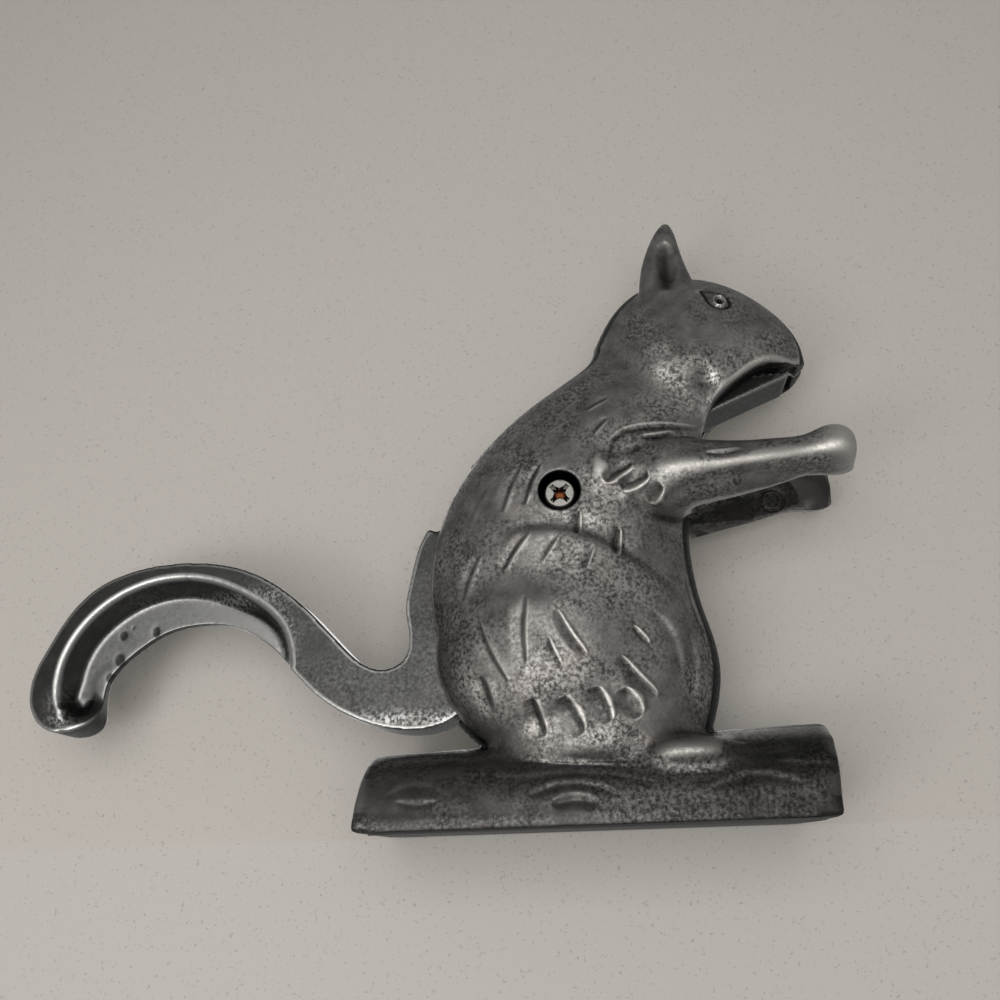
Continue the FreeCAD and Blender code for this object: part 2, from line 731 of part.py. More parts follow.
def build_washer():
    ring = cylinder("WasherBlank", cell("washer_radius"), cell("washer_thickness"), cell("pivot_x"),
                    pivot_seat(), pivot_z())
    hole = cylinder("WasherHole", "%s + %s" % (cell("screw_radius"), cell("running_clearance")),
                    cell("washer_thickness"), cell("pivot_x"), pivot_seat(), pivot_z())
    split = box("WasherSplit", {
        "Length": cell("washer_radius"),
        "Width": "2 * " + cell("washer_thickness"),
        "Height": cell("washer_thickness"),
        "Placement.Base.x": cell("pivot_x"),
        "Placement.Base.y": "%s - %s / 2" % (pivot_seat(), cell("washer_thickness")),
        "Placement.Base.z": "%s - %s / 2" % (pivot_z(), cell("washer_thickness")),
    })
    washer = cut("LockWasher", ring, fuse("WasherCuts", [hole, split]))
    washer.Label = "lock_washer"
    return washer


def build_nut():
    start = "%s + %s" % (pivot_seat(), cell("washer_thickness"))
    hexagon = doc.addObject("Part::Prism", "NutBlank")
    hexagon.Polygon = 6
    hexagon.Placement.Rotation = Rotation(Vector(1, 0, 0), -90)
    bind(hexagon, {
        "Circumradius": "%s / sqrt(3)" % cell("nut_width"),
        "Height": cell("nut_height"),
        "Placement.Base.x": cell("pivot_x"),
        "Placement.Base.y": start,
        "Placement.Base.z": pivot_z(),
    })
    hole = cylinder("NutThread", "%s + %s" % (cell("screw_radius"), cell("thread_clearance")),
                    cell("nut_height"), cell("pivot_x"), start, pivot_z())
    nut = cut("PivotNut", hexagon, hole)
    nut.Label = "pivot_nut"
    return nut


def build_case_screws():
    # Three equal screws put in from the left side, in the log's two ends and behind the crown.
    screws = []
    for place, (x, z, seat) in SCREW_PLACES.items():
        head = cylinder(place + "Head", cell("case_head_radius"), cell("case_head_height"), x, seat, z)
        length = "%s + %s" % (seat, cell("case_screw_bite"))
        shank = cylinder(place + "Shank", cell("case_screw_radius"), length, x,
                         "-" + cell("case_screw_bite"), z)
        top = "%s + %s" % (seat, cell("case_head_height"))
        recess = cross_recess(place + "Recess", cell("case_recess_width"), cell("case_recess_slot"),
                              cell("case_recess_depth"), x, z, top, -1)
        screws.append(cut(place + "Screw", fuse(place + "ScrewBlank", [head, shank]), recess))
    group = doc.addObject("Part::Compound", "CaseScrews")
    group.Links = screws
    group.Label = "case_screws"
    return group


def build_pins():
    pins = []
    for place, (x, z) in PIN_PLACES.items():
        pins.append(cylinder(place + "Pin", cell("pin_radius"), cell("pin_length"), x,
                             "-%s / 2" % cell("pin_length"), z))
    group = doc.addObject("Part::Compound", "LocatingPins")
    group.Links = pins
    group.Label = "locating_pins"
    return group


def check_document(parts):
    doc.recompute()
    for obj in doc.Objects:
        if "Invalid" in obj.State or "Error" in obj.State:
            raise RuntimeError("failed object: %s %s" % (obj.Name, obj.State))
    for part in parts:
        if part.Shape.isNull() or not part.Shape.isValid():
            raise RuntimeError("bad shape: " + part.Label)
        print("%-18s solids %d volume %.0f" % (part.Label, len(part.Shape.Solids), part.Shape.Volume))


def main():
    fill_sheet()
    plain = build_plain_half()
    parts = [build_left_half(plain), build_right_half(plain), build_lever(), build_pivot_screw(),
             build_washer(), build_nut(), build_case_screws(), build_pins()]
    check_document(parts)
    os.makedirs("parts", exist_ok=True)
    for part in parts:
        part.Shape.exportStep("parts/%s.step" % part.Label)


main()
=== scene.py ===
import math

import bmesh
import bpy
import numpy as np
from mathutils import Matrix, Vector
from mathutils.bvhtree import BVHTree
from mathutils.kdtree import KDTree


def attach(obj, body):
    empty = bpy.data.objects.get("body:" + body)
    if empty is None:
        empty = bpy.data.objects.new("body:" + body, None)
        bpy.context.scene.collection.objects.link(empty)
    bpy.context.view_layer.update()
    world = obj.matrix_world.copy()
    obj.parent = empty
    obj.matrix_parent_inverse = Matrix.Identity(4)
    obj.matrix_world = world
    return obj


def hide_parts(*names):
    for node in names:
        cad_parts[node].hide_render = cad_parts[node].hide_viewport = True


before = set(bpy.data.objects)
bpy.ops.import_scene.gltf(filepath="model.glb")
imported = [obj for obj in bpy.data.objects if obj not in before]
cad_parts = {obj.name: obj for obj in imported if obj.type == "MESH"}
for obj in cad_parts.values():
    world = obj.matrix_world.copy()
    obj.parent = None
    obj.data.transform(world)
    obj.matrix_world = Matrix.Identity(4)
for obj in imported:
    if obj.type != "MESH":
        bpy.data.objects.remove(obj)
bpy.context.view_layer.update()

# Lengths in the dictionaries are millimetres in the part's own frame: x forward, z up,
# and the right half at -y. Blender's own unit is the metre.
millimetre = 0.001

photoCamera = {
    "place": (2.64, -312.49, -10.30),
    "right": (0.99474, 0.09816, -0.02920),
    "up": (0.06120, -0.34122, 0.93799),
    "lens": 36.0,                       # on a 36 mm sensor, as wide as the picture is
}

stageSet = {
    "boardY": 30.0,                     # the pale board stands just behind the figure
    "boardReach": 1500.0,
    "boardColor": (0.560, 0.532, 0.500),
    "floorColor": (0.530, 0.510, 0.480),
    "speckScale": 950.0,
    "speckShare": 0.72,
    "worldColor": (1.0, 0.99, 0.97),
    "worldStrength": 0.32,
}

lamps = {
    "frontLamp": {"place": (-40, -690, 20), "size": 570, "watts": 2.75, "color": (1.0, 0.985, 0.96)},
    "lowLamp": {"place": (-260, -430, -150), "size": 170, "watts": 0.45, "color": (1.0, 0.98, 0.95)},
    "backLamp": {"place": (-160, 700, 320), "size": 640, "watts": 2.9, "color": (1.0, 0.99, 0.97)},
}


# shared mesh work
def newPiece(name, mesh):
    piece = bpy.data.objects.new(name, mesh)
    bpy.context.scene.collection.objects.link(piece)
    return piece


def mergedCopy(name, nodeName):
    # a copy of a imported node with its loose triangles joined
    form = bmesh.new()
    form.from_mesh(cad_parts[nodeName].data)
    bmesh.ops.remove_doubles(form, verts=form.verts, dist=0.002 * millimetre)
    mesh = bpy.data.meshes.new(name)
    form.to_mesh(mesh)
    form.free()
    return newPiece(name, mesh)


def bakeModifiers(piece):
    depsgraph = bpy.context.evaluated_depsgraph_get()
    baked = bpy.data.meshes.new_from_object(piece.evaluated_get(depsgraph))
    piece.modifiers.clear()
    piece.data = baked


def remesh(piece, voxel):
    skin = piece.modifiers.new("castSkin", "REMESH")
    skin.mode = "VOXEL"
    skin.voxel_size = voxel * millimetre
    bakeModifiers(piece)


def thin(piece, mostTriangles, hidden):
    # spends fewer triangles on the hidden faces than on the ones that show
    piece.data.calc_loop_triangles()
    triangles = len(piece.data.loop_triangles)
    if triangles <= mostTriangles:
        return
    group = piece.vertex_groups.new(name="hiddenSkin")
    group.add([int(index) for index in np.where(hidden)[0]], 1.0, "REPLACE")
    fewer = piece.modifiers.new("fewerFaces", "DECIMATE")
    fewer.ratio = mostTriangles / triangles
    fewer.vertex_group = "hiddenSkin"
    fewer.vertex_group_factor = 2e-7
    bakeModifiers(piece)
    piece.vertex_groups.clear()


def readSkin(piece):
    mesh = piece.data
    count = len(mesh.vertices)
    points = np.empty(count * 3)
    mesh.vertices.foreach_get("co", points)
    edges = np.empty(len(mesh.edges) * 2, dtype=np.int64)
    mesh.edges.foreach_get("vertices", edges)
    skin = {"points": points.reshape(-1, 3) / millimetre, "edges": edges.reshape(-1, 2)}
    readNormals(piece, skin)
    return skin


def readNormals(piece, skin):
    normals = np.empty(len(piece.data.vertices) * 3)
    piece.data.vertex_normals.foreach_get("vector", normals)
    skin["normals"] = normals.reshape(-1, 3)


def writeSkin(piece, skin):
    piece.data.vertices.foreach_set("co", (skin["points"] * millimetre).ravel())
    piece.data.update()
    readNormals(piece, skin)


def neighbourMean(edges, values):
    first, second = edges.T
    count = len(values)
    total = np.bincount(first, values[second], count) + np.bincount(second, values[first], count)
    links = np.maximum(np.bincount(edges.ravel(), minlength=count), 1)
    return total / links


def relax(skin, freedom, turns, pull=0.5):
    # evens the surface out where freedom is 1 and holds it where freedom is 0
    edges = skin["edges"]
    near = (freedom[edges[:, 0]] > 0) | (freedom[edges[:, 1]] > 0)
    used, flat = np.unique(edges[near], return_inverse=True)
    patch = skin["points"][used]
    patchEdges = flat.reshape(-1, 2)
    give = (pull * freedom[used])[:, None]
    for turn in range(turns):
        mean = np.column_stack([neighbourMean(patchEdges, patch[:, axis]) for axis in range(3)])
        patch += give * (mean - patch)
    skin["points"][used] = patch


def refine(piece, close):
    # halves the faces wherever close is true, so that finer marks can be cut there
    edges = np.empty(len(piece.data.edges) * 2, dtype=np.int64)
    piece.data.edges.foreach_get("vertices", edges)
    edges = edges.reshape(-1, 2)
    chosen = np.where(close[edges[:, 0]] & close[edges[:, 1]])[0]
    form = bmesh.new()
    form.from_mesh(piece.data)
    form.edges.ensure_lookup_table()
    bmesh.ops.subdivide_edges(form, edges=[form.edges[index] for index in chosen], cuts=1,
                              use_grid_fill=True)
    form.to_mesh(piece.data)
    form.free()
    return readSkin(piece)


def smoothStep(value, low, high):
    share = np.clip((value - low) / (high - low), 0.0, 1.0)
    return share * share * (3 - 2 * share)


def rounded(line, turns=2):
    # cuts the corners of a line, so that it bends evenly
    places = [np.array(place, float) for place in line]
    closed = np.allclose(places[0], places[-1])
    for turn in range(turns):
        cut = []
        for head, tail in zip(places, places[1:]):
            cut += [0.75 * head + 0.25 * tail, 0.25 * head + 0.75 * tail]
        places = cut + [cut[0]] if closed else [places[0]] + cut + [places[-1]]
    return places


def ovalLine(center, halfLength, halfHeight, steps=20):
    angles = np.linspace(0, 2 * math.pi, steps + 1)
    return [(center[0] + halfLength * math.cos(a), center[1] + halfHeight * math.sin(a)) for a in angles]


def alongLine(places, line):
    # distance to a line in side view, signed by its side, and the share of the way gone
    best = np.full(len(places), 1e9)
    signed = np.zeros(len(places))
    gone = np.zeros(len(places))
    start = 0.0
    for head, tail in zip(line, line[1:]):
        head, tail = np.array(head, float), np.array(tail, float)
        length = np.linalg.norm(tail - head)
        if length < 1e-6:
            continue
        way = (tail - head) / length
        offset = places - head
        run = np.clip(offset @ way, 0.0, length)
        apart = np.linalg.norm(offset - run[:, None] * way, axis=1)
        across = offset[:, 0] * way[1] - offset[:, 1] * way[0]
        nearer = apart < best
        best[nearer] = apart[nearer]
        signed[nearer] = np.where(across[nearer] < 0, -1.0, 1.0) * apart[nearer]
        gone[nearer] = start + run[nearer]
        start += length
    return signed, gone / start


def nearLine(skin, line, reach):
    places = skin["points"][:, [0, 2]]
    low = np.min(line, axis=0) - reach
    high = np.max(line, axis=0) + reach
    return np.where(np.all((places > low) & (places < high), axis=1))[0]


def groove(skin, mask, line, width, depth, lip=0.0, lean=1.0, taper=True):
    # cuts a lens-shaped hollow along a line seen from the side; lean widens its left slope,
    # and a low lip stands on its right
    line = rounded(line)
    near = nearLine(skin, line, 5 * width * lean)
    signed, gone = alongLine(skin["points"][near][:, [0, 2]], line)
    lens = np.sqrt(np.sin(math.pi * np.clip(gone, 0.0, 1.0))) if taper else np.ones(len(near))
    reach = width * (0.35 + 0.65 * lens) * np.where(signed > 0, lean, 1.0)
    move = -depth * np.exp(-(signed / reach) ** 2)
    move += lip * np.exp(-((signed + 1.7 * reach) / (0.8 * reach)) ** 2)
    skin["points"][near] += (move * lens * mask[near])[:, None] * skin["normals"][near]


def ledge(skin, mask, line, width, height, sharp=0.7, fade=0.12):
    # lifts one side of a line and lowers the other, as where one form overlaps the next
    line = rounded(line)
    near = nearLine(skin, line, 3 * width)
    signed, gone = alongLine(skin["points"][near][:, [0, 2]], line)
    step = np.tanh(signed / sharp) * np.exp(-(signed / width) ** 2)
    ends = smoothStep(np.minimum(gone, 1 - gone), 0.0, fade)
    skin["points"][near] += (height * step * ends * mask[near])[:, None] * skin["normals"][near]


def mound(skin, mask, center, halfLength, halfHeight, turn, height):
    # raises a soft mound, or sinks a hollow where height is negative
    places = skin["points"][:, [0, 2]] - np.array(center)
    cosine, sine = math.cos(math.radians(turn)), math.sin(math.radians(turn))
    along = (places[:, 0] * cosine + places[:, 1] * sine) / halfLength
    across = (-places[:, 0] * sine + places[:, 1] * cosine) / halfHeight
    lift = height * np.exp(-(along ** 2 + across ** 2)) * mask
    skin["points"] += lift[:, None] * skin["normals"]


def addLayer(piece, name, values):
    layer = piece.data.attributes.new(name, "FLOAT", "POINT")
    layer.data.foreach_set("value", values)


def addWear(piece, skin, turns=10, whole=0.075, kept=1.0, least=-1.0):
    # high places come out bright and low places dark, read from how the skin bends
    even = {"points": skin["points"].copy(), "edges": skin["edges"]}
    relax(even, np.ones(len(skin["points"])), turns)
    height = np.sum((skin["points"] - even["points"]) * skin["normals"], axis=1)
    for turn in range(2):
        height = neighbourMean(skin["edges"], height)
    addLayer(piece, "wear", np.maximum(kept * np.clip(height / whole, -1.0, 1.0), least))


def spotShare(skin, spots):
    # how strongly the listed places are marked: centre, half length, half height, strength
    share = np.zeros(len(skin["points"]))
    for (x, z), halfLength, halfHeight, strength in spots:
        apart = ((skin["points"][:, 0] - x) / halfLength) ** 2 + ((skin["points"][:, 2] - z) / halfHeight) ** 2
        share = np.maximum(share, strength * np.exp(-apart))
    return share


# the two body castings
castHalf = {
    "voxel": 0.6,
    "armInner": 16.0,
    "pivot": (-4.3, 98.3),
    "headBore": 6.6,
    "screwBore": 4.5,
    "screwPlaces": [(-50.0, 11.0), (50.0, 11.0), (38.0, 159.0)],
    "seamGap": 0.3,
    "mostTriangles": 194000,
    "logTop": 28.0,
    "logHalf": 68.0,
    "skirt": 3.5,
    "earFoot": 171.0,
    "haunchCenter": (-8.0, 0.0, 52.0),
    "haunchHalf": (39.5, 28.0, 35.0),
    "armRing": ((67.0, 105.0), 3.9),    # a mark cast into the left arm's inner face
}

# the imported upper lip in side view, whose edge stays sharp
lipLine = [(42, 118), (44, 124.4), (46.3, 128.8), (50.5, 133), (56.3, 137.4), (62.3, 141), (68, 142.3),
           (73.5, 142), (79, 145)]

# start, end, width and depth of each tuft of fur, in side view
furStrokes = [
    ((-27.0, 102.5), (-34.0, 90.0), 1.3, 0.45),
    ((-15.5, 109.0), (-22.5, 93.0), 1.2, 0.6),
    ((-9.5, 108.5), (-15.5, 94.5), 1.1, 0.7),
    ((-14.0, 85.5), (-23.0, 73.5), 1.2, 0.6),
    ((-5.5, 83.5), (-11.0, 75.5), 1.1, 0.4),
    ((5.0, 80.0), (2.0, 72.5), 0.9, 0.4),
    ((-30.0, 80.0), (-36.0, 66.0), 1.3, 0.6),
    ((1.0, 91.5), (0.5, 83.5), 1.0, 0.6),
    ((13.0, 86.0), (12.0, 77.0), 1.0, 0.9),
    ((-31.0, 59.5), (-22.5, 40.0), 1.2, 0.55),
    ((-16.0, 65.0), (-17.0, 44.5), 1.3, 0.55),
    ((-7.5, 60.0), (1.0, 46.0), 1.1, 0.7),
    ((-10.5, 52.5), (-6.5, 43.0), 1.0, 0.5),
    ((15.0, 55.0), (19.5, 50.0), 0.9, 0.7),
    ((10.5, 46.0), (20.5, 35.0), 1.3, 0.9),
    ((-30.5, 42.5), (-27.5, 32.0), 1.9, 1.1),
    ((-15.5, 35.0), (-12.5, 25.0), 1.7, 1.1),
    ((-6.5, 35.0), (-1.5, 25.0), 2.2, 1.2),
    ((3.0, 37.5), (6.5, 28.0), 2.0, 1.2),
    ((11.0, 37.0), (15.5, 29.5), 2.0, 1.2),
    ((18.5, 106.0), (10.0, 100.0), 1.7, 1.2),
    ((23.0, 101.0), (14.5, 98.0), 1.8, 1.3),
    ((27.0, 97.0), (23.0, 93.5), 1.5, 1.1),
    ((40.5, 106.3), (52.0, 107.2), 1.0, 0.6),
    ((13.0, 130.5), (5.0, 126.0), 1.0, 0.5),
    ((3.0, 132.5), (-3.0, 127.0), 1.0, 0.35),
    ((12.0, 122.5), (7.0, 117.0), 1.0, 0.45),
    ((22.5, 115.0), (32.5, 117.0), 0.9, 0.6),
    ((-21.0, 117.0), (-15.5, 122.0), 1.0, 0.35),
]

bodyGrooves = {
    "innerFold": {"line": [(21, 60), (26, 54), (28, 46.5), (27.5, 40)], "width": 1.5, "depth": 0.5, "lip": 0.15},
    "bellyFold": {"line": [(31.5, 54), (33.5, 45), (31, 35)], "width": 1.1, "depth": 0.5, "lip": 0.15},
    "armTop": {"line": [(12, 108), (13, 114), (18, 117.5), (28, 118.8), (41.5, 118.5)],
               "width": 1.0, "depth": 0.7, "lip": 0.1},
    "armHollow": {"line": [(27, 93.5), (36, 96.5), (51, 99.5), (68, 101.5)], "width": 2.2, "depth": 0.9, "lip": 0.0},
    "jowl": {"line": [(43, 141), (46, 136), (45, 130), (41, 124)], "width": 2.6, "depth": 0.7, "lip": 0.0},
}

haunchEdge = [(-24, 85), (-15, 86), (-5, 85.8), (3.6, 83), (11.8, 79.2), (18.4, 74.5), (25.6, 69.4), (30.2, 64.8),
              (32.5, 58), (34, 50)]

# centre, half length, half height, turn and height of each soft swelling
bodyMounds = {
    "haunchTop": ((-4, 72), 24, 10, -14, 1.3),
    "haunchBack": ((-14, 63.5), 22, 6, 2, 1.0),
    "cheek": ((34, 142), 13, 8, -25, 0.9),
    "cheekHollow": ((43.5, 134.5), 4.0, 3.0, 0, -0.9),
    "armCrest": ((54, 104.3), 26, 2.6, 4, 0.8),
}

logGrooves = {
    "leftKnotTop": {"line": [(-58, 9.5), (-52, 12.2), (-45, 12), (-40, 9)], "width": 1.1, "depth": 0.45, "lip": 0.15},
    "leftKnotFoot": {"line": [(-55, 8.0), (-49, 6.8), (-43, 7.6)], "width": 0.9, "depth": 0.35, "lip": 0.1},
    "eyeArch": {"line": [(-17, 8.2), (-11, 10.8), (-4.6, 11.4), (2, 10.4), (8, 7.4)], "width": 1.1, "depth": 0.6,
                "lip": 0.2},
    "eyeSlot": {"line": [(-10.9, 5.8), (-4.3, 7.2), (2.0, 5.6)], "width": 1.3, "depth": 1.1, "lip": 0.1},
    "barkHigh": {"line": [(-36, 15), (-20, 13), (-6, 14.4), (8, 13), (18, 10.5)], "width": 1.0, "depth": 0.4,
                 "lip": 0.15},
    "barkTop": {"line": [(-64, 18), (-48, 20), (-30, 18.5)], "width": 1.6, "depth": 0.5, "lip": 0.1},
    "barkRight": {"line": [(33, 8.6), (42, 11.6), (50, 11.4), (58, 9.0)], "width": 1.2, "depth": 0.5, "lip": 0.2},
    "barkFront": {"line": [(50, 15.5), (58, 14.2), (66, 14.0)], "width": 1.0, "depth": 0.5, "lip": 0.1},
    "barkFork": {"line": [(40, 19.5), (50, 17.5), (60, 18.5)], "width": 1.2, "depth": 0.5, "lip": 0.1},
}

eyeShape = {
    "center": (52.0, 164.7),
    "outline": [(46.0, 169.9), (47.4, 167.0), (47.9, 164.4), (49.8, 161.9), (53.0, 160.9), (55.4, 162.2),
                (55.0, 165.4), (52.8, 168.2), (50.1, 169.1), (46.0, 169.9)],
    "iris": (1.9, 2.3),
    "pupil": 0.9,
}

# bright patches: rubbed metal on the high places, and painted highlights on the cheek, arm crest, haunch and foot
polishAndHighlightSpots = [
    ((31, 146.5), 4.5, 3.0, 1.0), ((39.6, 141), 6, 2.6, 1.0), ((47, 136), 4, 2, 0.8), ((30, 137), 4, 5, 0.6),
    ((41, 127), 5, 4, 0.6), ((68, 150), 5, 2.5, 0.5), ((46, 103.5), 16, 1.4, 0.9), ((70, 105), 14, 1.8, 0.8),
    ((5, 88), 9, 2.5, 0.5), ((15, 81), 5, 2.5, 0.6), ((17, 96), 6, 3, 0.5), ((-34, 42), 4.0, 6, 1.0),
    ((-26, 31), 7, 3.5, 0.9), ((-14, 26), 6, 2.5, 0.7), ((0, 24), 9, 2.5, 0.5), ((29.2, 17.7), 1.6, 0.9, 0.9),
    ((33, 38), 4, 6, 0.5), ((33, 88), 5, 5, 0.4), ((18, 62), 16, 12, 0.25),
]

beadLine = [(-19, 19.6), (-12.6, 18.3), (-5.5, 17.5), (3, 16.8), (10, 16.2), (15, 15.7)]


def outerMask(skin, side):
    # 1 on the faces that look outwards, clear of the slot, of the bore and of the arms' inner faces
    mask = smoothStep(side * skin["normals"][:, 1], 0.05, 0.3)
    mask *= smoothStep(side * skin["points"][:, 1], 9.0, 10.0)
    bore = np.hypot(skin["points"][:, 0] - castHalf["pivot"][0], skin["points"][:, 2] - castHalf["pivot"][1])
    return mask * smoothStep(bore, castHalf["headBore"] + 0.8, castHalf["headBore"] + 2.0)


def closeToMarks(skin, side, lines, reach):
    close = np.zeros(len(skin["points"]), dtype=bool)
    outside = (side * skin["normals"][:, 1] > 0.05) & (side * skin["points"][:, 1] > 8.0)
    for line in lines:
        near = nearLine(skin, line, reach)
        signed, gone = alongLine(skin["points"][near][:, [0, 2]], line)
        close[near] |= np.abs(signed) < reach
    return close & outside


def ringShare(skin, width):
    # 1 on the ring cast into the left arm's inner face
    (x, z), radius = castHalf["armRing"]
    away = np.hypot(skin["points"][:, 0] - x, skin["points"][:, 2] - z) - radius
    inner = (np.abs(skin["points"][:, 1] - castHalf["armInner"]) < 0.8) & (skin["normals"][:, 1] < -0.5)
    return np.exp(-(away / width) ** 2) * inner


def creaseShare(skin, reach):
    # 1 on the line where the haunch's swelling leaves the body, fading out over the reach
    points = skin["points"]
    offset = (points - np.array(castHalf["haunchCenter"])) / np.array(castHalf["haunchHalf"])
    onSwelling = np.abs(np.sum(offset ** 2, axis=1) - 1) < 0.012
    first, second = skin["edges"].T
    border = points[first[(onSwelling[first] != onSwelling[second])]]
    border = border[(border[:, 2] > 40) & (np.abs(border[:, 1]) > 12)][::3]
    tree = KDTree(len(border))
    for index, place in enumerate(border):
        tree.insert(place, index)
    tree.balance()
    share = np.zeros(len(points))
    near = np.where((points[:, 2] > 34) & (points[:, 2] < 95) & (np.abs(points[:, 1]) > 9))[0]
    apart = np.array([tree.find(points[index])[2] for index in near])
    share[near] = np.exp(-(apart / reach) ** 2)
    return share


def softenHalf(skin, side):
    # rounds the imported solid's corners, holding what must stay sharp or true
    x, y, z = skin["points"].T
    outward = side * y
    free = smoothStep(outward, 9.2, 11.0)
    bore = np.hypot(x - castHalf["pivot"][0], z - castHalf["pivot"][1])
    free *= smoothStep(bore, castHalf["headBore"] + 0.2, castHalf["headBore"] + 1.6)
    free *= smoothStep(z, 1.0, 4.0)
    free *= 1 - smoothStep(z, castHalf["earFoot"], castHalf["earFoot"] + 4) * (x < 47)
    onArmInner = (x > 40) & (np.abs(outward - castHalf["armInner"]) < 0.6)
    free = np.where(onArmInner, 0.0, free)
    signed, gone = alongLine(skin["points"][:, [0, 2]], lipLine)
    free *= smoothStep(np.abs(signed), 0.8, 3.0)
    crease = creaseShare(skin, 7.0)
    relax(skin, free, 24)
    relax(skin, free * crease, 260)
    footing = ((x > 8) & (x < 50) & (z > 13) & (z < 34)) | ((z > 18) & (z < 30) & (x > -40) & (x < 48))
    relax(skin, free * footing, 60)
    logEnd = smoothStep(np.abs(x), castHalf["logHalf"] - 8, castHalf["logHalf"] - 4) * (z < castHalf["logTop"] + 1)
    relax(skin, logEnd * smoothStep(outward, 0.3, 1.0), 40)
    inEar = (z > castHalf["earFoot"] + 1) & (z < 191) & (np.abs(x - 35.5) < 5)
    relax(skin, inEar * smoothStep(side * skin["normals"][:, 1], 0.2, 0.5), 14)
    skin["points"][:, 2] = np.maximum(skin["points"][:, 2], 0.0)


def carveHalf(name, nodeName, side):
    # side is -1 for the right half and 1 for the left one
    piece = mergedCopy(name, nodeName)
    remesh(piece, castHalf["voxel"])
    skin = readSkin(piece)
    softenHalf(skin, side)
    writeSkin(piece, skin)
    lines = [[start, end] for start, end, width, depth in furStrokes]
    lines += [shape["line"] for shape in bodyGrooves.values()] + [shape["line"] for shape in logGrooves.values()]
    skin = refine(piece, closeToMarks(skin, side, lines + [haunchEdge], 3.0))
    eyeSpot = [[eyeShape["center"], (eyeShape["center"][0] + 0.1, eyeShape["center"][1])]]
    skin = refine(piece, closeToMarks(skin, side, eyeSpot, 8.0))
    skin = refine(piece, closeToMarks(skin, side, eyeSpot, 7.0))
    if side > 0:
        skin = refine(piece, ringShare(skin, 1.6) > 0.05)
    for center, halfLength, halfHeight, turn, height in bodyMounds.values():
        mound(skin, outerMask(skin, side), center, halfLength, halfHeight, turn, height)
    writeSkin(piece, skin)
    ledge(skin, outerMask(skin, side), haunchEdge, 8.5, 0.95, sharp=1.5)
    writeSkin(piece, skin)
    mask = outerMask(skin, side)
    for start, end, width, depth in furStrokes:
        bend = 0.08 * np.array([end[1] - start[1], start[0] - end[0]])
        middle = tuple((np.array(start) + np.array(end)) / 2 + bend)
        groove(skin, mask, [start, middle, end], 0.85 * width, depth, lip=0.45 * depth, lean=1.8)
    for shape in bodyGrooves.values():
        groove(skin, mask, shape["line"], shape["width"], shape["depth"], shape["lip"], lean=1.3)
    for shape in logGrooves.values():
        groove(skin, mask, shape["line"], shape["width"], 0.8 * shape["depth"], 0.4 * shape["lip"], lean=1.3)
    groove(skin, mask, beadLine, 0.55, -0.35)
    mound(skin, mask, eyeShape["center"], 3.2, 2.8, -35, -0.45)
    groove(skin, mask, eyeShape["outline"], 0.5, 0.55, taper=False)
    groove(skin, mask, ovalLine(eyeShape["center"], *eyeShape["iris"]), 0.38, -0.5, taper=False)
    mound(skin, mask, eyeShape["center"], eyeShape["pupil"], eyeShape["pupil"], 0, -0.8)
    if side > 0:
        skin["points"] -= (0.45 * ringShare(skin, 0.5))[:, None] * skin["normals"]
    seam = np.exp(-(skin["points"][:, 1] / 0.6) ** 2) * (np.abs(skin["normals"][:, 1]) < 0.7)
    skin["points"] -= (castHalf["seamGap"] * seam)[:, None] * skin["normals"]
    skin["points"][:, 1] = side * np.maximum(side * skin["points"][:, 1], 0.02)
    writeSkin(piece, skin)
    hidden = (side * skin["normals"][:, 1] < -0.12) | (skin["points"][:, 2] < 0.3)
    hidden &= ringShare(skin, 6.0) < 0.3
    thin(piece, castHalf["mostTriangles"], hidden)
    finishHalf(piece, side)
    return piece


def eyeShadeAndHighlight(sideView):
    # painted shade and painted highlight on the eye: painted shade in its outline and on the pupil, a painted highlight
    # on the iris ring
    signed, gone = alongLine(sideView, rounded(eyeShape["outline"]))
    away = (sideView - np.array(eyeShape["center"])) / np.array(eyeShape["iris"])
    ring = np.linalg.norm(away, axis=1)
    dark = np.maximum(0.95 * np.exp(-(signed / 0.6) ** 2), 1 - smoothStep(ring, 0.35, 0.65))
    bright = np.exp(-((ring - 1.0) / 0.22) ** 2)
    return dark * (1 - bright), bright


